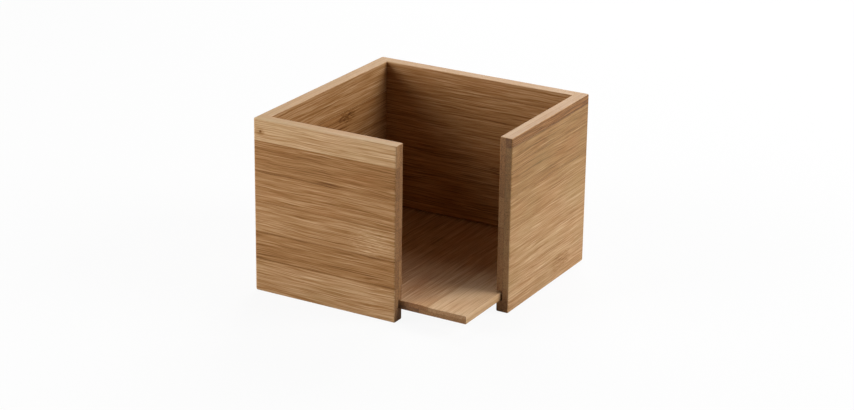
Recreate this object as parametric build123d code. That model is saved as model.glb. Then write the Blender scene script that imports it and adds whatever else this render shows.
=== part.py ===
from build123d import *
import os
from math import isclose

# Square napkin box of laminated bamboo boards, open at the top and at one front corner.
# Lengths are in millimetres. The origin is the middle of the square footprint at table height, +Z is up.
# The front wall faces -Y and the right wall faces +X; the open corner lies between their cut ends.

# Box
box_side = 145.0  # outer side of the square footprint
wall_height = 107.3
wall_thickness = 8.0
front_wall_length = 96.3  # from the left corner to the cut end
right_wall_length = 98.6  # from the back corner to the cut end

# Sanded rounding of the walls' free edges
corner_radius = 1.6  # upright outer corners of the box
end_arris_radius = 1.0  # upright edges of the two cut ends
rim_arris_radius = 0.6
foot_arris_radius = 1.0

# Floor panel and the groove that holds it, ploughed into the inner face of every wall
floor_thickness = 5.0
floor_arris_radius = 0.4
groove_height_above_table = 7.4  # lower face of the groove, on which the panel lies
groove_depth = 4.0
groove_headroom = 0.9  # free height above the panel
panel_play = 1.0  # free width between each edge of the panel and the bottom of the groove

# Headed pin, driven through the face of the front wall into the end grain of the left wall
pin_length = 20.0
pin_diameter = 1.0
pin_point_length = 1.6
pin_point_diameter = 0.4
pin_head_diameter = 1.6
pin_head_thickness = 0.6
pin_sink = 0.3  # depth of the head below the face
pin_below_rim = 7.3
pin_off_middle = 1.2  # from the middle of the left wall's thickness, towards the inside

# Worked out from the values above
half_side = box_side / 2
half_inside = half_side - wall_thickness
front_end = -half_side + front_wall_length
right_end = half_side - right_wall_length
groove_top = groove_height_above_table + floor_thickness + groove_headroom
half_groove = half_inside + groove_depth
panel_side = 2 * (half_groove - panel_play)
pin_from_corner = wall_thickness / 2 + pin_off_middle


def block(x_limits, y_limits, z_limits):
    """A rectangular block between two limits along each axis."""
    limits = (x_limits, y_limits, z_limits)
    lengths = [high - low for low, high in limits]
    corner = [low for low, high in limits]
    return Pos(*corner) * Box(*lengths, align=(Align.MIN, Align.MIN, Align.MIN))


def square_prism(half_width, z_limits):
    """A block whose square footprint is centred on the origin."""
    return block((-half_width, half_width), (-half_width, half_width), z_limits)


def is_outer_corner(edge):
    """True for the upright edges where two outer wall faces meet."""
    middle = edge.center()
    return isclose(abs(middle.X), half_side) and isclose(abs(middle.Y), half_side)


def is_at_cut_end(edge):
    """True for the upright edges beside the open corner."""
    middle = edge.center()
    return isclose(middle.X, front_end) or isclose(middle.Y, right_end)


def glued_walls():
    """The walls as one ring, cut away at the open corner, sanded on its free edges and grooved inside."""
    full_height = (0, wall_height)
    ring = square_prism(half_side, full_height) - square_prism(half_inside, full_height)
    ring -= block((front_end, half_side), (-half_side, right_end), full_height)
    for is_wanted, radius in ((is_outer_corner, corner_radius), (is_at_cut_end, end_arris_radius)):
        ring = fillet(ring.edges().filter_by(Axis.Z).filter_by(is_wanted), radius)
    for level, radius in ((wall_height, rim_arris_radius), (0, foot_arris_radius)):
        ring = fillet(ring.edges().filter_by_position(Axis.Z, level, level), radius)
    return ring - square_prism(half_groove, (groove_height_above_table, groove_top))


def pin():
    """The pin with its head at the origin's side, driven along +Z from a face at z = 0."""
    upright = (Align.CENTER, Align.CENTER, Align.MIN)
    shank_length = pin_length - pin_point_length
    head = Cylinder(pin_head_diameter / 2, pin_head_thickness, align=upright)
    shank = Cylinder(pin_diameter / 2, shank_length, align=upright)
    point = Cone(pin_diameter / 2, pin_point_diameter / 2, pin_point_length, align=upright)
    return Pos(0, 0, pin_sink) * (head + shank + Pos(0, 0, shank_length) * point)


def pin_mouth():
    """The open hole that the head leaves between itself and the face at z = 0."""
    upright = (Align.CENTER, Align.CENTER, Align.MIN)
    return Cylinder(pin_head_diameter / 2, pin_sink, align=upright)


# The pin enters the front face beside the left corner, high up, and runs straight back
pin_height = wall_height - pin_below_rim
pin_place = Plane(origin=(-half_side + pin_from_corner, -half_side, pin_height), z_dir=(0, 1, 0))
parts = {"corner_pin": pin_place * pin()}
walls = glued_walls() - [pin_place * pin_mouth(), parts["corner_pin"]]

# The front wall laps the left wall's end, and the back wall is let in between the left and right walls.
wall_regions = {
    "front_wall": ((-half_side, front_end), (-half_side, -half_inside)),
    "left_wall": ((-half_side, -half_inside), (-half_inside, half_side)),
    "back_wall": ((-half_inside, half_inside), (half_inside, half_side)),
    "right_wall": ((half_inside, half_side), (right_end, half_side)),
}
for name, (x_limits, y_limits) in wall_regions.items():
    parts[name] = walls & block(x_limits, y_limits, (0, wall_height))

# The panel lies on the lower face of the groove, centred in it
panel_top = groove_height_above_table + floor_thickness
panel = square_prism(panel_side / 2, (groove_height_above_table, panel_top))
parts["floor_panel"] = fillet(panel.edges(), min(floor_arris_radius, floor_thickness / 3))

os.makedirs("parts", exist_ok=True)
for name, shape in parts.items():
    export_step(shape, f"parts/{name}.step")
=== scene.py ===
# %% [markdown]
# # A napkin box of laminated bamboo, open at one front corner
#
# The real box is five thin boards. Each board is two plies of bamboo strips, about 19 mm wide, glued side by
# side and face to face, sanded and given a thin satin lacquer. Four boards are the walls, glued at the
# corners, and the fifth is a floor panel held in a groove. Nothing on it moves.
#
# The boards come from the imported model, with their true sizes, sanded arrises and grooves. What is
# left to Blender is all that the eye reads as bamboo: the strips, the fibres, the knuckles, the cut ends, the
# lacquer. This file builds those finishes from shader nodes, one effect at a time.

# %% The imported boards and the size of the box
import math

import bpy
import numpy as np
from mathutils import Matrix, Vector


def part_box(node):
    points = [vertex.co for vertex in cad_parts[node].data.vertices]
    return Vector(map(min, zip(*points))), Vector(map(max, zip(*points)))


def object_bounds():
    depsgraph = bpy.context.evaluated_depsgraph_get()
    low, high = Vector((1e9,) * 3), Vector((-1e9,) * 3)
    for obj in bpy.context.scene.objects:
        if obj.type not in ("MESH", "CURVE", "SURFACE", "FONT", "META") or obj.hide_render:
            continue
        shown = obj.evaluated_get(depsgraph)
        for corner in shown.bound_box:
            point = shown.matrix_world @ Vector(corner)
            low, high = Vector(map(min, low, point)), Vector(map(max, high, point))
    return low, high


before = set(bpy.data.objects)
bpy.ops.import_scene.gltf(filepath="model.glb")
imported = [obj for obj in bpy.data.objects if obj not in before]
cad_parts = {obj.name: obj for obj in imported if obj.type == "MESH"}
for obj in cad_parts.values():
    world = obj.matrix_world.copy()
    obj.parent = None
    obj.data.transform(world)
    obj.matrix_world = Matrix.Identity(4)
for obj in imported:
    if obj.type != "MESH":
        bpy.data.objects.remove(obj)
cad_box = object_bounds()
millimetre = 0.001
low, high = (np.array(corner) / millimetre for corner in cad_box)
box_side = high[0] - low[0]
wall_height = high[2] - low[2]
half_side = box_side / 2
print("nodes:", sorted(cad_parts))
print(f"box {box_side:.1f} mm square, {wall_height:.1f} mm high")

# %% Sizes read from the boards
front_box = [np.array(corner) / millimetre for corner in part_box("front_wall")]
right_box = [np.array(corner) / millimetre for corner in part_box("right_wall")]
panel_box = [np.array(corner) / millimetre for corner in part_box("floor_panel")]
wall_thickness = front_box[1][1] - front_box[0][1]
right_wall_start = right_box[0][1]
panel_thickness = panel_box[1][2] - panel_box[0][2]
print(f"walls {wall_thickness:.1f} mm thick, floor panel {panel_thickness:.1f} mm")

# %% [markdown]
# ## Camera
#
# The photograph looks down on the open corner from the front right, through a long lens, so upright edges
# stay almost upright. A camera can be placed by hand until it looks right, or fitted: here the direction, the
# distance and the lens are those at which the box's edges fall on the edges in the photograph. The camera is
# built from them as a matrix, whose columns are its sideways, upwards and backwards directions.

# %% A camera that looks along a given direction
view_azimuth = math.radians(29.72)
view_elevation = math.radians(20.56)
view_roll = math.radians(0.78)
view_distance = 1.341
view_target = Vector((0.0098, -0.0125, 0.0508))
picture_width = 854
focal_pixels = 2270.0
sensor_width = 36.0


def direction(azimuth, elevation):
    """The unit vector towards an azimuth from -Y round to +X and an elevation above the floor."""
    level = math.cos(elevation)
    return Vector((math.sin(azimuth) * level, -math.cos(azimuth) * level, math.sin(elevation)))


backwards = direction(view_azimuth, view_elevation)
sideways = Vector((math.cos(view_azimuth), math.sin(view_azimuth), 0.0))
upwards = backwards.cross(sideways)
sideways, upwards = (
    math.cos(view_roll) * sideways + math.sin(view_roll) * upwards,
    math.cos(view_roll) * upwards - math.sin(view_roll) * sideways,
)
camera_data = bpy.data.cameras.new("camera")
camera_data.sensor_width = sensor_width
camera_data.lens = sensor_width * focal_pixels / picture_width
camera = bpy.data.objects.new("camera", camera_data)
turn = Matrix((sideways, upwards, backwards)).transposed().to_4x4()
camera.matrix_world = Matrix.Translation(view_target + backwards * view_distance) @ turn
bpy.context.scene.collection.objects.link(camera)
bpy.context.scene.camera = camera
print(f"lens {camera_data.lens:.1f} mm at {view_distance:.2f} m")

# %% [markdown]
# ## Nodes in short
#
# A shader node tree is a small program. Written out call by call it is hard to read, so a few helpers do the
# wiring: `wire` feeds an input, `compute` is one Math node, `smooth_step` turns a value into a soft mask,
# `weighted_sum` adds effects up, and `mix_colours` goes from one colour to another. Two more read the point's
# place and the way that the surface faces there.

# %% Helpers that wire one node
def wire(tree, socket, value):
    """Feeds a node's input: another node's output is linked to it, a number or colour is set on it."""
    if isinstance(value, bpy.types.NodeSocket):
        tree.links.new(value, socket)
    else:
        socket.default_value = value


def compute(tree, operation, *values):
    """One Math node with these inputs; gives its result."""
    node = tree.nodes.new("ShaderNodeMath")
    node.operation = operation
    for socket, value in zip(node.inputs, values):
        wire(tree, socket, value)
    return node.outputs[0]


# %% Masks, sums and mixtures
def smooth_step(tree, value, start, end, low_value=0.0, high_value=1.0):
    """Goes smoothly from low_value to high_value as value goes from start to end, and stays there."""
    node = tree.nodes.new("ShaderNodeMapRange")
    node.interpolation_type = "SMOOTHSTEP"
    for name, given in (
        ("Value", value),
        ("From Min", start),
        ("From Max", end),
        ("To Min", low_value),
        ("To Max", high_value),
    ):
        wire(tree, node.inputs[name], given)
    return node.outputs["Result"]


def weighted_sum(tree, *terms):
    """Adds up (value, weight) pairs."""
    total = 0.0
    for value, weight in terms:
        total = compute(tree, "MULTIPLY_ADD", value, weight, total)
    return total


def mix_colours(tree, share, first, second):
    """Goes from the first colour to the second as share goes from 0 to 1."""
    node = tree.nodes.new("ShaderNodeMix")
    node.data_type = "RGBA"
    colour_sockets = [socket for socket in node.inputs if socket.type == "RGBA"]
    wire(tree, node.inputs["Factor"], share)
    for socket, colour in zip(colour_sockets, (first, second)):
        wire(tree, socket, colour)
    return next(socket for socket in node.outputs if socket.type == "RGBA")


# %% What a node tree reads from the surface
def parts_of(tree, vector):
    """The three parts of a vector."""
    node = tree.nodes.new("ShaderNodeSeparateXYZ")
    wire(tree, node.inputs[0], vector)
    return node.outputs


def point_parts(tree):
    """The place of the point on its object, in metres."""
    return parts_of(tree, tree.nodes.new("ShaderNodeTexCoord").outputs["Object"])


def normal_parts(tree):
    """The way that the surface faces at the point."""
    return parts_of(tree, tree.nodes.new("ShaderNodeNewGeometry").outputs["Normal"])


# %% [markdown]
# ## Groups and colours
#
# An effect that several materials use is built once, as a node group, and placed in each of them with values
# of its own. A group gives out only numbers and colours; the shader that uses them stays in the material.

# %% Helpers for node groups
def start_group(name, inputs, outputs, colours=()):
    """An empty shader group. Gives the group, the values that it takes and the inputs of its end."""
    group = bpy.data.node_groups.new(name, "ShaderNodeTree")
    for in_out, names in (("INPUT", inputs), ("OUTPUT", outputs)):
        for socket in names:
            kind = "NodeSocketColor" if socket in colours else "NodeSocketFloat"
            group.interface.new_socket(socket, in_out=in_out, socket_type=kind)
    taken = group.nodes.new("NodeGroupInput").outputs
    given = group.nodes.new("NodeGroupOutput").inputs
    return group, taken, given


def place_group(tree, group, values):
    """Places a group in a tree, feeds its named inputs and gives its outputs."""
    node = tree.nodes.new("ShaderNodeGroup")
    node.node_tree = group
    for name, value in values.items():
        wire(tree, node.inputs[name], value)
    return node.outputs


# %% Colours as a screen gives them
def screen_colour(red, green, blue):
    """A colour as a screen's 0 to 255 numbers, turned into the linear light that shaders compute with."""
    shares = np.array((red, green, blue)) / 255
    linear = np.where(shares <= 0.04045, shares / 12.92, ((shares + 0.055) / 1.055) ** 2.4)
    return (*linear.tolist(), 1.0)


# %% [markdown]
# ## Bamboo fibre
#
# Bamboo has no growth rings. What shows on a strip is bundles of fibre: long, nearly parallel streaks of
# several widths, and short dark dashes where a bundle comes to the surface at a slant. Image textures could
# show that, but they stretch at the edges and repeat. Noise that is squeezed across the grain and drawn out
# along it works in all three directions, so the streaks turn the corner onto the rims by themselves.

# %% Streaks drawn out along the grain
def streaks(tree, along, across, through, length, width, detail):
    """Noise of 0 to 1 at (along / length, across / width, through / width), all in millimetres."""
    point = tree.nodes.new("ShaderNodeCombineXYZ")
    for socket, value, size in zip(point.inputs, (along, across, through), (length, width, width)):
        wire(tree, socket, compute(tree, "DIVIDE", value, size))
    noise = tree.nodes.new("ShaderNodeTexNoise")
    wire(tree, noise.inputs["Vector"], point.outputs[0])
    noise.inputs["Scale"].default_value = 1.0
    noise.inputs["Detail"].default_value = detail
    return noise.outputs["Fac"]


def centred(tree, noise, strength):
    """Noise of 0 to 1 turned into -strength / 2 to strength / 2."""
    return compute(tree, "MULTIPLY", compute(tree, "SUBTRACT", noise, 0.5), strength)


# %% [markdown]
# Five kinds of fibre are laid over one another. Each has a length along the grain and a width across it, in
# millimetres, and a number of finer levels. Before that, two gentle noises push the place sideways, so that
# the fibres sway as grown fibres do.

# %% The fibre group
strip_spacing = 613.0  # distance that keeps the streaks of two strips unlike, in mm
slow_sway_noise = (75, 26, 1)
slow_sway_reach = 4.0  # mm
quick_sway_noise = (13, 5, 2)
quick_sway_reach = 1.0  # mm
broad_streak = (260, 3.4, 2)
middle_streak = (80, 1.5, 2)
fine_streak = (26, 0.55, 2)
dark_line = (130, 1.2, 1)
short_dash = (10, 0.6, 1)
both_ways = 2.0  # strength that turns noise into -1 to 1
sway_through = 0.5  # share of the slow sway that also goes through the thickness
streak_weights = (0.35, 0.5, 1.55)  # of the broad, the middle and the fine streaks
relief_shares = (0.3, 0.8)  # of the middle and the fine streaks
line_threshold = (0.56, 0.72)  # noise at which a dark line begins, and at which it is full
dash_threshold = (0.58, 0.72)

fibre, taken, given = start_group(
    "bamboo_fibre", ("Along", "Across", "Through", "Strip"), ("Streaks", "Lines", "Dashes", "Relief")
)
along = compute(fibre, "MULTIPLY_ADD", taken["Strip"], strip_spacing, taken["Along"])
slow_noise = streaks(fibre, along, taken["Across"], taken["Through"], *slow_sway_noise)
quick_noise = streaks(fibre, along, taken["Across"], taken["Through"], *quick_sway_noise)
slow_sway = centred(fibre, slow_noise, slow_sway_reach)
quick_sway = centred(fibre, quick_noise, quick_sway_reach)
across = compute(fibre, "ADD", taken["Across"], compute(fibre, "ADD", slow_sway, quick_sway))
through = compute(fibre, "MULTIPLY_ADD", slow_sway, sway_through, taken["Through"])
broad, middle, fine = (
    centred(fibre, streaks(fibre, along, across, through, *kind), both_ways)
    for kind in (broad_streak, middle_streak, fine_streak)
)
line_noise = streaks(fibre, along, across, through, *dark_line)
dash_noise = streaks(fibre, along, across, through, *short_dash)
wire(fibre, given["Streaks"], weighted_sum(fibre, *zip((broad, middle, fine), streak_weights)))
wire(fibre, given["Lines"], smooth_step(fibre, line_noise, *line_threshold))
wire(fibre, given["Dashes"], smooth_step(fibre, dash_noise, *dash_threshold))
wire(fibre, given["Relief"], weighted_sum(fibre, *zip((middle, fine), relief_shares)))
print("fibre group:", len(fibre.nodes), "nodes")

# %% [markdown]
# ## Knuckles
#
# A bamboo culm has a joint every 20 to 30 cm. Where a strip crosses one, the fibres swirl in a cloudy patch
# as wide as the strip, sometimes paler and sometimes darker. Each patch is an ellipse with a frayed edge,
# placed one by one, because the eye finds it at once and the photograph shows where three of them are.

# %% One knuckle
frayed_edge = (8, 3, 3)  # length and width in mm, and detail, as for the fibres
fray_strength = 1.8
patch_edge = (1.2, 0.2)  # how far out the patch begins and is full, where 1 is the ellipse
cloudy_inside = (4, 0.8, 3)

knuckle, taken, given = start_group(
    "culm_knuckle",
    ("Along", "Across", "Centre Along", "Centre Across", "Half Length", "Half Height", "Shade", "Mottle"),
    ("Shade",),
)
from_centre = [
    compute(
        knuckle,
        "DIVIDE",
        compute(knuckle, "SUBTRACT", taken[axis], taken["Centre " + axis]),
        taken[half_size],
    )
    for axis, half_size in (("Along", "Half Length"), ("Across", "Half Height"))
]
squares = [compute(knuckle, "MULTIPLY", share, share) for share in from_centre]
edge_noise = streaks(knuckle, taken["Along"], taken["Across"], 0.0, *frayed_edge)
fray = centred(knuckle, edge_noise, fray_strength)
reach = compute(knuckle, "ADD", compute(knuckle, "ADD", *squares), fray)
patch = smooth_step(knuckle, reach, *patch_edge)
cloud_noise = streaks(knuckle, taken["Along"], taken["Across"], 0.0, *cloudy_inside)
cloud = centred(knuckle, cloud_noise, both_ways)
shade = compute(knuckle, "MULTIPLY_ADD", cloud, taken["Mottle"], taken["Shade"])
wire(knuckle, given["Shade"], compute(knuckle, "MULTIPLY", patch, shade))
print("knuckle group:", len(knuckle.nodes), "nodes")

# %% [markdown]
# ## Cut ends
#
# Across a cut end the fibre bundles show as dark dots in paler tissue, denser towards one side of each ply,
# where the outside of the culm was. Cells of a Voronoi pattern give one dot each, and the dots grow towards
# that side. The mask says where the surface looks along the grain: there the dots take over from the streaks.

# %% Dots of cut fibre bundles
bundle_spacing = 0.95  # mm between the bundles of a cut end
thin_bundle = 0.2  # radius of a bundle at the outer side of a ply, as a share of the spacing
bundle_growth = 0.16  # what it has gained at the ply's inner side
soft_rim = 0.08  # half the width of a dot's blurred outline
end_clouds = (1, 2.1, 2)  # read at 0 along the grain, so that its length counts for nothing
squareness = (0.55, 0.85)  # how squarely a surface faces along the grain to begin as a cut end, and to be one

cut_end, taken, given = start_group(
    "cut_fibre_ends", ("Along Normal", "Across", "Through", "Ply Thickness"), ("Mask", "Dots", "Mottle")
)
facing = compute(cut_end, "ABSOLUTE", taken["Along Normal"])
wire(cut_end, given["Mask"], smooth_step(cut_end, facing, *squareness))
place_in_ply = compute(
    cut_end, "FRACT", compute(cut_end, "DIVIDE", taken["Through"], taken["Ply Thickness"])
)
cell_point = cut_end.nodes.new("ShaderNodeCombineXYZ")
for socket, value in zip(cell_point.inputs, (taken["Across"], taken["Through"])):
    wire(cut_end, socket, compute(cut_end, "DIVIDE", value, bundle_spacing))
cells = cut_end.nodes.new("ShaderNodeTexVoronoi")
cells.voronoi_dimensions = "2D"
cells.inputs["Scale"].default_value = 1.0
wire(cut_end, cells.inputs["Vector"], cell_point.outputs[0])
dot_radius = compute(cut_end, "MULTIPLY_ADD", place_in_ply, bundle_growth, thin_bundle)
nearness = compute(cut_end, "SUBTRACT", dot_radius, cells.outputs["Distance"])
wire(cut_end, given["Dots"], smooth_step(cut_end, nearness, -soft_rim, soft_rim))
wire(cut_end, given["Mottle"], streaks(cut_end, 0.0, taken["Across"], taken["Through"], *end_clouds))
print("cut end group:", len(cut_end.nodes), "nodes")

# %% [markdown]
# ## Sanded arrises and painted highlights
#
# The free edges of the boards are sanded round, and their colour is made paler. That is partly real, as
# the lacquer is thinnest there and hands polish them, and partly a painted highlight: the fine pale lines
# in which the edges catch the light. On a flat face one part of the normal is 1 or -1 and the others are 0.
# On a rounded edge none comes near that, and the difference is the mask.

# %% Where an edge is rounded
flatness = (0.99, 0.8)  # largest part of the normal at which a surface is still flat, and is fully round
uneven_sanding = (9, 4, 2)
sanding_threshold = (0.25, 0.6)
least_sanded = 0.45

arris, taken, given = start_group("arris_wear_and_highlight_mask", ("Along", "Across", "Through"), ("Mask",))
sizes = [compute(arris, "ABSOLUTE", part) for part in normal_parts(arris)]
largest = compute(arris, "MAXIMUM", compute(arris, "MAXIMUM", sizes[0], sizes[1]), sizes[2])
rounded = smooth_step(arris, largest, *flatness)
patchy = streaks(arris, taken["Along"], taken["Across"], taken["Through"], *uneven_sanding)
sanded = smooth_step(arris, patchy, *sanding_threshold, least_sanded)
wire(arris, given["Mask"], compute(arris, "MULTIPLY", rounded, sanded))
print("arris group:", len(arris.nodes), "nodes")

# %% [markdown]
# ## Tint
#
# The strips are steamed until they turn brown, and no two come out alike. One number, the tone, runs from
# the dark of a seam to the palest strip, and a second one leans a strip to red or to straw. Nearly all other
# effects only push these two numbers, so that every mixture stays a colour that bamboo can have.

# %% From tone to colour
bamboo_tones = (
    (0.0, screen_colour(86, 50, 22)),
    (0.25, screen_colour(136, 92, 47)),
    (0.5, screen_colour(165, 121, 76)),
    (0.75, screen_colour(190, 151, 109)),
    (1.0, screen_colour(214, 180, 141)),
)
red_brown = screen_colour(168, 96, 46)
most_red = 0.5  # share of red brown in the reddest strip
straw = screen_colour(162, 136, 86)
most_straw = 0.7  # share of straw in the least red one


def fill_ramp(ramp, stops):
    """Gives a colour ramp these (position, colour) stops."""
    elements = ramp.elements
    while len(elements) > 1:
        elements.remove(elements[-1])
    elements[0].position, elements[0].color = stops[0]
    for position, colour in stops[1:]:
        elements.new(position).color = colour


tint, taken, given = start_group("bamboo_tint", ("Tone", "Redness"), ("Color",), colours=("Color",))
tone_ramp = tint.nodes.new("ShaderNodeValToRGB")
fill_ramp(tone_ramp.color_ramp, bamboo_tones)
wire(tint, tone_ramp.inputs[0], taken["Tone"])
to_red = smooth_step(tint, taken["Redness"], 0.0, 1.0, 0.0, most_red)
to_straw = smooth_step(tint, taken["Redness"], 0.0, -1.0, 0.0, most_straw)
reddened = mix_colours(tint, to_red, tone_ramp.outputs["Color"], red_brown)
wire(tint, given["Color"], mix_colours(tint, to_straw, reddened, straw))
print("tint group:", len(bamboo_tones), "tones")

# %% [markdown]
# ## Lacquer
#
# Satin lacquer levels the surface but sinks into open fibre. So the gloss varies a little from place to
# place, and it is duller on the dark dashes and on the cut ends, which drink most of it.

# %% Roughness of the lacquer
satin_roughness = 0.5
gloss_clouds = (30, 17, 3)
cloud_strength = 0.2
rougher_on_dashes = 0.07
rougher_on_ends = 0.16
coat_on_faces = 0.03
coat_on_ends = 0.01

lacquer, taken, given = start_group(
    "satin_lacquer", ("Along", "Across", "Through", "Dashes", "Cut End"), ("Roughness", "Coat")
)
gloss_noise = streaks(lacquer, taken["Along"], taken["Across"], taken["Through"], *gloss_clouds)
cloudy = centred(lacquer, gloss_noise, cloud_strength)
drunk_in = weighted_sum(lacquer, (taken["Dashes"], rougher_on_dashes), (taken["Cut End"], rougher_on_ends))
unevenness = compute(lacquer, "ADD", cloudy, drunk_in)
wire(lacquer, given["Roughness"], compute(lacquer, "ADD", unevenness, satin_roughness))
wire(lacquer, given["Coat"], smooth_step(lacquer, taken["Cut End"], 0.0, 1.0, coat_on_faces, coat_on_ends))
print("lacquer group:", len(lacquer.nodes), "nodes")

# %% [markdown]
# ## One board
#
# A board is told by three directions: along the grain, across the strips and through the thickness. Each is
# an axis of the box, a sign and the place where it starts. Across the strips, a list gives every strip its
# width, its tone and its lean to red or straw, first for the outer ply and then for the inner one. The strips
# become a colour ramp whose red, green and blue channels carry tone, redness and a number that tells the
# strips apart: one ramp then answers three questions at once. A second ramp holds the thin dark lines. A
# separate object for every strip would show the same seams, but the real board is one piece.

# %% Ramps that hold the strips and the dark lines of one ply
seam_width = 0.35  # mm on each side of a seam
seam_shade = 0.2
golden_section = 0.381966  # steps of this share of 1 keep the numbers of neighbouring strips far apart


def ramp_across(tree, across, breadth, stops):
    """A colour ramp over the breadth of the board, from stops of (millimetres, colour)."""
    node = tree.nodes.new("ShaderNodeValToRGB")
    fill_ramp(node.color_ramp, [(place / breadth, colour) for place, colour in stops])
    wire(tree, node.inputs[0], compute(tree, "DIVIDE", across, breadth))
    return node.outputs["Color"]


def strip_ramp(tree, across, strips):
    """Strips of (width, tone, redness): level over each strip, with a dip in tone at each seam."""
    stops = []
    start = 0.0
    for number, (width, tone, redness) in enumerate(strips):
        tell_apart = (number * golden_section) % 1.0
        level = (0.5 + redness / 2, tell_apart, 1.0)  # redness of -1 to 1 is held as 0 to 1
        if number > 0:
            stops.append((start, (min(tone, strips[number - 1][1]) - seam_shade, *level)))
        stops.append((start + seam_width, (tone, *level)))
        start += width
        stops.append((start - seam_width, (tone, *level)))
    return ramp_across(tree, across, start, stops)


def line_ramp(tree, across, lines, breadth):
    """Dark lines of (place, half width, depth of tone): 0 between them and their depth at each one."""
    stops = []
    for place, half_width, depth in sorted(lines):
        stops.append((place - half_width, (0.0, 0.0, 0.0, 1.0)))
        stops.append((place, (depth, depth, depth, 1.0)))
        stops.append((place + half_width, (0.0, 0.0, 0.0, 1.0)))
    return ramp_across(tree, across, breadth, stops)


# %% Where a point lies in a board
def board_coordinate(tree, point, axis, sign, start):
    """Millimetres from start along one axis of the box, counted in the direction of sign."""
    scaled = compute(tree, "MULTIPLY_ADD", point[axis], 1 / millimetre, -start)
    return compute(tree, "MULTIPLY", scaled, sign)


# %% The strips of both plies
ply_blend = 0.05  # mm on each side of the glue line over which one ply gives way to the other
line_waver = (70, 40, 2)
line_waver_reach = 2.4  # mm
line_fading = (50, 3, 1)
fading_threshold = (0.35, 0.6)
faintest_line = 0.4  # share of its depth that a dark line keeps where it is faintest


def both_plies(tree, place, glue_line, outer, inner):
    """The mask of the inner ply, the depth of the dark lines, and the strips' tone, redness and number."""
    breadth = sum(width for width, tone, redness in outer["strips"])
    on_inner = smooth_step(tree, place["Through"], glue_line - ply_blend, glue_line + ply_blend)
    strips = [strip_ramp(tree, place["Across"], side["strips"]) for side in (outer, inner)]
    answers = tree.nodes.new("ShaderNodeSeparateColor")
    wire(tree, answers.inputs[0], mix_colours(tree, on_inner, *strips))
    waver = centred(tree, streaks(tree, *place.values(), *line_waver), line_waver_reach)
    wavering = compute(tree, "ADD", place["Across"], waver)
    lines = [line_ramp(tree, wavering, side["lines"], breadth) for side in (outer, inner)]
    fading = streaks(tree, *place.values(), *line_fading)
    coming_and_going = smooth_step(tree, fading, *fading_threshold, faintest_line)
    line_depth = compute(tree, "MULTIPLY", mix_colours(tree, on_inner, *lines), coming_and_going)
    return on_inner, line_depth, *answers.outputs


# %% The knuckles of a board
def knuckle_shades(tree, place, knuckles, on_outer, on_inner):
    """Adds up what the knuckles do to the tone.

    Each knuckle is: whether it lies on the inner ply, its centre along and across, half its length and
    height, its shade, and how strongly it is mottled."""
    total = 0.0
    for is_inner, centre_along, centre_across, half_length, half_height, shade, mottle in knuckles:
        mark = place_group(
            tree,
            knuckle,
            {
                "Along": place["Along"],
                "Across": place["Across"],
                "Centre Along": centre_along,
                "Centre Across": centre_across,
                "Half Length": half_length,
                "Half Height": half_height,
                "Shade": shade,
                "Mottle": mottle,
            },
        )
        on_ply = compute(tree, "MULTIPLY", mark["Shade"], on_inner if is_inner else on_outer)
        total = compute(tree, "ADD", total, on_ply)
    return total


# %% [markdown]
# Rims and cut ends look unlike the faces, though the strips run on through them. A rim, sanded and worn,
# comes near to one pale tone on every board, and a cut end to one brown tone, with dark dots where the fibre
# bundles are cut. So there the strips' own tone is drawn part of the way to a goal.

# %% The tone of rims, cut ends and edges
rim_tone = 0.84
drawn_on_rims = 0.65
end_tone = 0.45
drawn_on_ends = 0.3
marks_on_ends = 0.35  # share of the faces' marks that goes on over a cut end
dot_shade = -0.24
outer_end_shade = -0.07
end_shade = -0.11
end_mottle = 0.4
glue_line_shade = -0.12
glue_reach = (0.3, 0.1)  # mm from the glue line at which its shade begins, and at which it is full
# paler rounded edges: partly wear, partly a painted highlight
arris_wear_and_painted_highlight = 0.14


def drawn_to(tree, tone, goal, share):
    """Draws a tone to a goal: not at all at a share of 0, and all the way at 1."""
    return compute(tree, "MULTIPLY_ADD", compute(tree, "SUBTRACT", goal, tone), share, tone)


def finished_tone(tree, tone, face_marks, ends, on_rim, on_outer, from_glue_line, edge):
    """The tone of the strips with the marks of the faces, the rims, the cut ends, the glue and the edges."""
    marks_share = smooth_step(tree, ends["Mask"], 0.0, 1.0, 1.0, marks_on_ends)
    tone = compute(tree, "MULTIPLY_ADD", face_marks, marks_share, tone)
    tone = drawn_to(tree, tone, rim_tone, compute(tree, "MULTIPLY", on_rim, drawn_on_rims))
    tone = drawn_to(tree, tone, end_tone, compute(tree, "MULTIPLY", ends["Mask"], drawn_on_ends))
    shades = weighted_sum(tree, (ends["Dots"], dot_shade), (on_outer, outer_end_shade), (1.0, end_shade))
    on_end = compute(tree, "MULTIPLY", ends["Mask"], shades)
    mottled_end = compute(tree, "MULTIPLY", ends["Mask"], centred(tree, ends["Mottle"], end_mottle))
    glue = smooth_step(tree, from_glue_line, *glue_reach)
    return weighted_sum(
        tree, (tone, 1.0), (on_end, 1.0), (mottled_end, 1.0), (glue, glue_line_shade), (edge, arris_wear_and_painted_highlight)
    )


# %% How much each effect counts on a board
fibre_weights = {"Streaks": 0.4, "Lines": -0.1, "Dashes": -0.08}
relief_weights = {"Relief": 1.0, "Dashes": -0.6}
dot_relief = -0.3
relief_height = 0.06 * millimetre
rim_facing = (0.6, 0.9)  # how squarely a surface faces across the strips to begin as a rim, and to be one
hue_clouds = (34, 16, 2)
hue_drift = 0.9
straw_on_rims = -0.25
end_grain = screen_colour(128, 104, 84)
grey_on_ends = 0.32
lacquer_specular = 0.13
coat_roughness = 0.3

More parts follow.
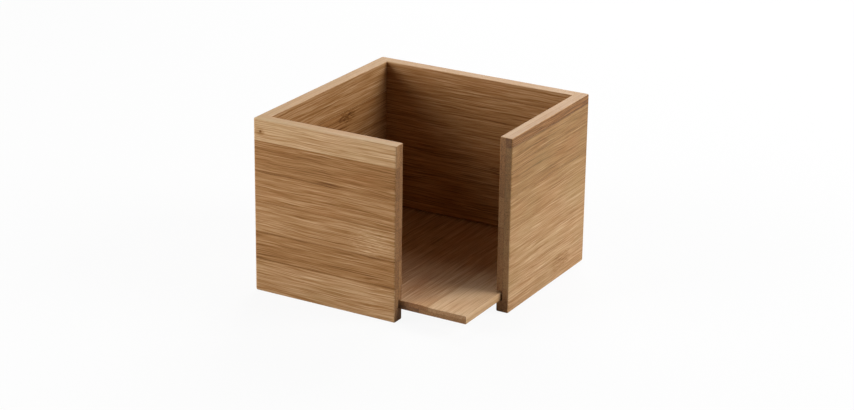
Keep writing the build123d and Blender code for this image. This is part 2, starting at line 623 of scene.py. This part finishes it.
# %% The material of one board
def bamboo_board(name, along, across, through, thickness, outer, inner, knuckles):
    """Two plies of bamboo strips with their seams, fibres, knuckles, cut ends, rounded edges and lacquer."""
    material = bpy.data.materials.new(name)
    material.use_nodes = True
    tree = material.node_tree
    surface = tree.nodes["Principled BSDF"]
    point = point_parts(tree)
    normal = normal_parts(tree)
    axes = {"Along": along, "Across": across, "Through": through}
    place = {way: board_coordinate(tree, point, *axis) for way, axis in axes.items()}

    glue_line = thickness / 2
    on_inner, line_depth, tone, redness, number = both_plies(tree, place, glue_line, outer, inner)
    on_outer = compute(tree, "SUBTRACT", 1.0, on_inner)
    number = compute(tree, "ADD", compute(tree, "ADD", number, on_inner), len(name))
    grain = place_group(tree, fibre, {**place, "Strip": number})
    end_values = {
        "Along Normal": normal[along[0]],
        "Across": place["Across"],
        "Through": place["Through"],
        "Ply Thickness": glue_line,
    }
    ends = place_group(tree, cut_end, end_values)
    # rounded edges, whose tone is raised below: partly wear, partly a painted highlight
    edge = place_group(tree, arris, place)["Mask"]
    facing_across = smooth_step(tree, compute(tree, "ABSOLUTE", normal[across[0]]), *rim_facing)
    on_rim = compute(tree, "MULTIPLY", facing_across, compute(tree, "SUBTRACT", 1.0, ends["Mask"]))
    from_glue_line = compute(tree, "ABSOLUTE", compute(tree, "SUBTRACT", place["Through"], glue_line))

    fibres = weighted_sum(tree, *((grain[kind], weight) for kind, weight in fibre_weights.items()))
    patches = knuckle_shades(tree, place, knuckles, on_outer, on_inner)
    face_marks = weighted_sum(tree, (fibres, 1.0), (patches, 1.0), (line_depth, -1.0))
    tone = finished_tone(tree, tone, face_marks, ends, on_rim, on_outer, from_glue_line, edge)
    drift = centred(tree, streaks(tree, *place.values(), *hue_clouds), hue_drift)
    # The ramp holds redness as 0 to 1, and twice that less 1 is -1 to 1 again
    lean = weighted_sum(tree, (redness, 2.0), (drift, 1.0), (on_rim, straw_on_rims), (1.0, -1.0))
    colour = place_group(tree, tint, {"Tone": tone, "Redness": lean})["Color"]
    greyed = compute(tree, "MULTIPLY", ends["Mask"], grey_on_ends)
    wire(tree, surface.inputs["Base Color"], mix_colours(tree, greyed, colour, end_grain))

    finish = place_group(tree, lacquer, {**place, "Dashes": grain["Dashes"], "Cut End": ends["Mask"]})
    wire(tree, surface.inputs["Roughness"], finish["Roughness"])
    wire(tree, surface.inputs["Coat Weight"], finish["Coat"])
    surface.inputs["Coat Roughness"].default_value = coat_roughness
    surface.inputs["Specular IOR Level"].default_value = lacquer_specular

    bump = tree.nodes.new("ShaderNodeBump")
    bump.inputs["Distance"].default_value = relief_height
    raised = [(grain[kind], weight) for kind, weight in relief_weights.items()]
    wire(tree, bump.inputs["Height"], weighted_sum(tree, *raised, (ends["Dots"], dot_relief)))
    wire(tree, surface.inputs["Normal"], bump.outputs["Normal"])
    return material


# %% A board put on its node
def dress(node_name, material):
    """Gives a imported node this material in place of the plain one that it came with."""
    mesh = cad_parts[node_name].data
    mesh.materials.clear()
    mesh.materials.append(material)
    print(node_name, "wears", material.name, "of", len(material.node_tree.nodes), "nodes")


# %% [markdown]
# ## The front wall
#
# It is the calmest board and the one that shows most: a pale strip under the rim, a dark one below it, then
# three of middling tone, the last of them a little darker, and a paler one at the table. A knuckle lies near
# its cut end. The second entry of its knuckles is the wood round the pin, which has browned.
#
# The numbers of each board are its strips as (width in mm, tone, lean to red), its dark lines as (place in
# mm, half width in mm, depth of tone), and its knuckles. Across the board, all are counted from the rim down.

# %% Strips, lines and knuckles of the front wall
X, Y, Z = 0, 1, 2  # the axes of the box, as places in a point
front_outer = {
    "strips": [
        (13.3, 0.75, -0.2),
        (19.0, 0.42, 0.1),
        (18.7, 0.5, 0.1),
        (18.5, 0.54, 0.0),
        (17.0, 0.44, 0.0),
        (21.0, 0.62, -0.1),
    ],
    "lines": [
        (14.5, 0.8, 0.06),
        (18.0, 0.8, 0.12),
        (24.8, 0.9, 0.13),
        (29.0, 0.7, 0.08),
        (31.8, 0.8, 0.12),
        (42.8, 0.8, 0.1),
        (50.9, 0.7, 0.08),
        (75.8, 0.9, 0.1),
        (81.5, 0.9, 0.1),
        (86.1, 0.8, 0.16),
    ],
}
front_inner = {
    "strips": [
        (12.7, 0.42, 0.0),
        (19.3, 0.42, 0.1),
        (19.0, 0.5, 0.0),
        (19.0, 0.3, 0.2),
        (17.5, 0.58, -0.1),
        (20.0, 0.5, 0.0),
    ],
    "lines": [(24.0, 0.7, 0.1), (47.0, 0.6, 0.08)],
}
front_knuckles = [
    (False, 79.0, 60.5, 16.0, 10.0, 0.07, 0.35),
    (False, 4.6, 7.4, 4.0, 2.2, -0.22, 0.0),
    (True, 31.0, 79.0, 10.0, 9.0, -0.16, 0.3),
]

# %% The front wall in its bamboo
dress(
    "front_wall",
    bamboo_board(
        "bamboo_front_wall",
        along=(X, 1, -half_side),
        across=(Z, -1, wall_height),
        through=(Y, 1, -half_side),
        thickness=wall_thickness,
        outer=front_outer,
        inner=front_inner,
        knuckles=front_knuckles,
    ),
)

# %% [markdown]
# ## The right wall
#
# Its strips grow paler from the rim down to the table, and that rise is painted light: the face is drawn
# paler towards the bright table, which lights it from below. The top strip is dark and reddish, and low on
# the face lies a dark knuckle.

# %% Strips, lines and knuckles of the right wall
# tones rise from the rim to the table: painted light, paler where the bright table lights the face
right_outer = {
    "strips": [
        (5.6, 0.22, 0.1),
        (11.1, 0.37, -0.35),
        (19.3, 0.4, -0.35),
        (19.0, 0.52, -0.35),
        (18.0, 0.62, -0.3),
        (19.5, 0.68, -0.3),
        (15.0, 0.66, -0.2),
    ],
    "lines": [
        (10.4, 0.7, 0.1),
        (20.0, 0.7, 0.08),
        (24.0, 0.7, 0.12),
        (41.0, 0.8, 0.1),
        (45.5, 0.7, 0.06),
        (59.0, 0.7, 0.1),
        (66.0, 0.7, 0.1),
        (78.0, 0.8, 0.1),
        (85.0, 0.8, 0.12),
        (101.0, 0.8, 0.1),
    ],
}
right_inner = {
    "strips": [
        (14.0, 0.4, 0.0),
        (22.0, 0.36, 0.1),
        (19.0, 0.56, 0.0),
        (18.0, 0.44, 0.2),
        (19.5, 0.5, 0.1),
        (15.0, 0.46, 0.0),
    ],
    "lines": [(25.0, 0.6, 0.1), (60.0, 0.7, 0.1)],
}
right_knuckles = [
    (False, 66.0, 97.0, 14.0, 6.0, -0.13, 0.4),
    (True, 44.0, 46.0, 9.0, 10.0, 0.1, 0.3),
]

# %% The right wall in its bamboo
dress(
    "right_wall",
    bamboo_board(
        "bamboo_right_wall",
        along=(Y, 1, right_wall_start),
        across=(Z, -1, wall_height),
        through=(X, -1, half_side),
        thickness=wall_thickness,
        outer=right_outer,
        inner=right_inner,
        knuckles=right_knuckles,
    ),
)

# %% [markdown]
# ## The left and back walls
#
# Inside the box these two show most. The left one is the warmest wall, with a dark knuckle behind its middle,
# and the back one is close in tone from rim to floor, with thin dark lines.

# %% Strips, lines and knuckles of the left wall
left_outer = {
    "strips": [
        (16.0, 0.48, 0.0),
        (19.0, 0.6, -0.1),
        (19.0, 0.42, 0.2),
        (19.0, 0.52, 0.0),
        (19.0, 0.46, 0.1),
        (15.5, 0.58, -0.2),
    ],
    "lines": [(8.0, 0.6, 0.1), (29.0, 0.7, 0.1), (61.0, 0.6, 0.12), (80.0, 0.5, 0.08)],
}
left_inner = {
    "strips": [
        (19.5, 0.54, 0.0),
        (19.0, 0.42, 0.2),
        (19.0, 0.46, 0.2),
        (19.0, 0.4, 0.2),
        (19.0, 0.42, 0.2),
        (12.0, 0.42, 0.2),
    ],
    "lines": [(10.5, 0.8, 0.1), (14.5, 0.7, 0.12), (19.0, 0.7, 0.1), (24.0, 0.7, 0.1), (29.0, 0.8, 0.14)],
}
left_knuckles = [
    (False, 52.0, 44.5, 11.0, 9.5, 0.1, 0.3),
    (False, 118.0, 83.0, 9.0, 9.0, -0.12, 0.3),
    (True, 89.5, 23.5, 10.0, 5.4, -0.12, 0.7),
]

# %% The left wall in its bamboo
dress(
    "left_wall",
    bamboo_board(
        "bamboo_left_wall",
        along=(Y, 1, -half_side),
        across=(Z, -1, wall_height),
        through=(X, 1, -half_side),
        thickness=wall_thickness,
        outer=left_outer,
        inner=left_inner,
        knuckles=left_knuckles,
    ),
)

# %% Strips, lines and knuckles of the back wall
back_outer = {
    "strips": [
        (7.0, 0.4, 0.2),
        (19.0, 0.55, 0.0),
        (19.0, 0.46, 0.1),
        (19.0, 0.64, -0.1),
        (19.0, 0.44, 0.1),
        (24.5, 0.54, 0.0),
    ],
    "lines": [(15.0, 0.7, 0.1), (38.0, 0.6, 0.12), (70.0, 0.8, 0.1), (95.0, 0.6, 0.08)],
}
back_inner = {
    "strips": [
        (11.0, 0.5, 0.1),
        (18.5, 0.46, 0.1),
        (19.0, 0.42, 0.1),
        (19.0, 0.38, 0.1),
        (19.0, 0.38, 0.0),
        (21.0, 0.4, 0.0),
    ],
    "lines": [
        (7.0, 0.7, 0.1),
        (13.5, 0.7, 0.14),
        (17.5, 0.7, 0.14),
        (21.0, 0.7, 0.14),
        (26.0, 0.8, 0.16),
        (33.0, 0.8, 0.14),
    ],
}
back_knuckles = [
    (False, 38.0, 54.0, 12.0, 9.5, 0.1, 0.3),
    (False, 104.0, 16.5, 9.0, 9.0, -0.12, 0.3),
    (True, 52.0, 58.0, 10.0, 9.0, -0.1, 0.3),
]

# %% The back wall in its bamboo
dress(
    "back_wall",
    bamboo_board(
        "bamboo_back_wall",
        along=(X, -1, half_side),
        across=(Z, -1, wall_height),
        through=(Y, -1, half_side),
        thickness=wall_thickness,
        outer=back_outer,
        inner=back_inner,
        knuckles=back_knuckles,
    ),
)

# %% [markdown]
# ## The floor panel
#
# A thinner board of the same make, with its grain from front to back and its strips counted from the left.
# The strip at the open corner is the palest of the box, and the next one, past a clear seam, is darker. Its
# front cut end, beside the front wall's cut end, is darker still: partly its own end grain and partly painted
# shade, where the wall's end shades it. The first knuckle entry and the very dark sixth strip of the lower
# ply put it there.

# %% Strips, lines and knuckles of the floor panel
floor_upper = {
    "strips": [
        (15.0, 0.5, 0.1),
        (19.0, 0.56, 0.1),
        (19.0, 0.5, 0.1),
        (19.0, 0.58, 0.2),
        (19.0, 0.6, 0.3),
        (19.0, 0.7, 0.3),
        (25.2, 0.94, 0.15),
    ],
    "lines": [(98.0, 0.6, 0.08), (104.0, 0.7, 0.06), (117.0, 0.6, 0.06), (123.0, 0.7, 0.05)],
}
floor_lower = {
    "strips": [
        (9.0, 0.5, 0.0),
        (19.0, 0.44, 0.1),
        (19.0, 0.58, 0.0),
        (19.0, 0.48, 0.1),
        (19.0, 0.54, 0.0),
        # very dark: the lower half of the front cut end, partly end grain, partly painted shade
        (19.0, 0.12, 0.0),
        (31.2, 0.52, 0.0),
    ],
    "lines": [(50.0, 0.6, 0.1), (90.0, 0.6, 0.1)],
}
floor_knuckles = [
    # a dark band on the front cut end: partly end grain, partly painted shade beside the front wall's end
    (False, 0.0, 100.0, 1.0, 10.5, -0.7, 0.4),
    (False, 92.0, 62.0, 9.0, 9.0, -0.12, 0.3),
    (True, 40.0, 75.0, 11.0, 9.0, 0.1, 0.3),
]

# %% The floor panel in its bamboo
dress(
    "floor_panel",
    bamboo_board(
        "bamboo_floor_panel",
        along=(Y, 1, panel_box[0][1]),
        across=(X, 1, panel_box[0][0]),
        through=(Z, -1, panel_box[1][2]),
        thickness=panel_thickness,
        outer=floor_upper,
        inner=floor_lower,
        knuckles=floor_knuckles,
    ),
)

# %% [markdown]
# ## The pin
#
# One fine pin holds the left corner near the rim. It is drawn steel wire with a small stamped head, set just
# below the face. The head has browned all over, and where rust blooms it is darker, rougher and less like
# metal. Fine scratches remain.

# %% Drawn steel
browned_steel = screen_colour(158, 112, 66)
rust = screen_colour(118, 74, 38)
rust_bloom = (0.5, 0.5, 3)
rust_threshold = (0.35, 0.55)
fine_scratch = (1.2, 0.12, 2)
scratch_depth = 0.02 * millimetre
bare_metal = 0.4  # how metallic the steel still is between the blooms of rust
steel_roughness = 0.25
added_by_rust = 0.3
added_by_scratches = 0.25
steel_specular = 0.1


def drawn_steel(name):
    """Browned metal with fine scratches, that turns darker and rougher where noise makes rust."""
    material = bpy.data.materials.new(name)
    material.use_nodes = True
    tree = material.node_tree
    surface = tree.nodes["Principled BSDF"]
    point = [compute(tree, "MULTIPLY", part, 1 / millimetre) for part in point_parts(tree)]
    bloom = smooth_step(tree, streaks(tree, *point, *rust_bloom), *rust_threshold)
    scratches = streaks(tree, *point, *fine_scratch)
    wire(tree, surface.inputs["Base Color"], mix_colours(tree, bloom, browned_steel, rust))
    roughness = weighted_sum(
        tree, (bloom, added_by_rust), (scratches, added_by_scratches), (1.0, steel_roughness)
    )
    wire(tree, surface.inputs["Roughness"], roughness)
    wire(tree, surface.inputs["Metallic"], smooth_step(tree, bloom, 0.0, 1.0, bare_metal, 0.0))
    surface.inputs["Specular IOR Level"].default_value = steel_specular
    bump = tree.nodes.new("ShaderNodeBump")
    bump.inputs["Distance"].default_value = scratch_depth
    wire(tree, bump.inputs["Height"], compute(tree, "ADD", scratches, bloom))
    wire(tree, surface.inputs["Normal"], bump.outputs["Normal"])
    return material


dress("corner_pin", drawn_steel("pin_steel"))

# %% [markdown]
# ## Floor, surroundings and lamps
#
# A product photograph is taken on a white sweep. The floor is a wide pale sheet that bounces light as any
# sheet does, but the camera and the reflections see it almost white, with only a share of its shading left,
# which is the soft shadow. From below it is clear, so that the underside of the box can be seen. The
# surroundings are white to the camera and to reflections, and dark to all else, so that they add a sheen and
# the lamps alone light the box.

# %% White to the eye, pale to the light
def seen_directly(tree):
    """1 for rays from the camera, from reflections and through glass, and 0 for all others."""
    path = tree.nodes.new("ShaderNodeLightPath")
    seen = compute(tree, "MAXIMUM", path.outputs["Is Camera Ray"], path.outputs["Is Glossy Ray"])
    return compute(tree, "MAXIMUM", seen, path.outputs["Is Transmission Ray"])


# %% The sheet that the box stands on
sheet_reach = 4.0  # metres from the box to each edge of the floor

floor_mesh = bpy.data.meshes.new("studio_floor")
floor_corners = [(x * sheet_reach, y * sheet_reach, 0.0) for x, y in ((-1, -1), (1, -1), (1, 1), (-1, 1))]
floor_mesh.from_pydata(floor_corners, [], [(0, 1, 2, 3)])
studio_floor = bpy.data.objects.new("studio_floor", floor_mesh)
bpy.context.scene.collection.objects.link(studio_floor)
print(f"floor {2 * sheet_reach:.0f} m square")

# %% The sheet's material
white = (1.0, 1.0, 1.0, 1.0)
pale_sheet = (0.8, 0.8, 0.8, 1.0)
share_of_white = 0.92

floor_material = bpy.data.materials.new("studio_floor")
floor_material.use_nodes = True
tree = floor_material.node_tree
tree.nodes.clear()
sheet = tree.nodes.new("ShaderNodeBsdfDiffuse")
sheet.inputs["Color"].default_value = pale_sheet
glow = tree.nodes.new("ShaderNodeEmission")
glow.inputs["Color"].default_value = white
whitened = tree.nodes.new("ShaderNodeMixShader")
wire(tree, whitened.inputs[0], compute(tree, "MULTIPLY", seen_directly(tree), share_of_white))
wire(tree, whitened.inputs[1], sheet.outputs[0])
wire(tree, whitened.inputs[2], glow.outputs[0])
from_below = tree.nodes.new("ShaderNodeMixShader")
wire(tree, from_below.inputs[0], tree.nodes.new("ShaderNodeNewGeometry").outputs["Backfacing"])
wire(tree, from_below.inputs[1], whitened.outputs[0])
wire(tree, from_below.inputs[2], tree.nodes.new("ShaderNodeBsdfTransparent").outputs[0])
wire(tree, tree.nodes.new("ShaderNodeOutputMaterial").inputs["Surface"], from_below.outputs[0])
floor_mesh.materials.append(floor_material)
print(f"the camera sees {share_of_white:.0%} white and the rest in its true shading")

# %% Surroundings
surroundings = bpy.data.worlds.new("surroundings")
surroundings.use_nodes = True
background = surroundings.node_tree.nodes["Background"]
background.inputs["Color"].default_value = white
wire(surroundings.node_tree, background.inputs["Strength"], seen_directly(surroundings.node_tree))
bpy.context.scene.world = surroundings
print("surroundings: white to the camera and to reflections, dark to all else")

# %% [markdown]
# Three soft lamps light the box: a low one at the front left for the front wall, one at the right for the
# right wall, and one from behind, which brightens the rims and touches no outer face in view. The inside gets
# only what falls over the walls, so it darkens towards the far left corner, as in the photograph.

# %% Soft lamps
lamp_distance = 1.2  # metres
middle_of_box = Vector((0.0, 0.0, 0.05))
lamps = {  # name: azimuth and elevation in degrees, side in metres, watts
    "front_left_lamp": (-45, 20, 0.7, 12.2),
    "right_lamp": (112, 28, 0.7, 12.4),
    "back_lamp": (194, 38, 0.7, 9.4),
}
for name, (azimuth, elevation, side, watts) in lamps.items():
    lamp_data = bpy.data.lights.new(name, "AREA")
    lamp_data.shape = "SQUARE"
    lamp_data.size = side
    lamp_data.energy = watts
    lamp = bpy.data.objects.new(name, lamp_data)
    towards_lamp = direction(math.radians(azimuth), math.radians(elevation))
    turn = towards_lamp.to_track_quat("Z", "Y").to_matrix().to_4x4()
    lamp.matrix_world = Matrix.Translation(middle_of_box + towards_lamp * lamp_distance) @ turn
    bpy.context.scene.collection.objects.link(lamp)
    print(f"{name}: {watts} W, {side} m square")

bpy.context.scene.view_settings.view_transform = "Standard"
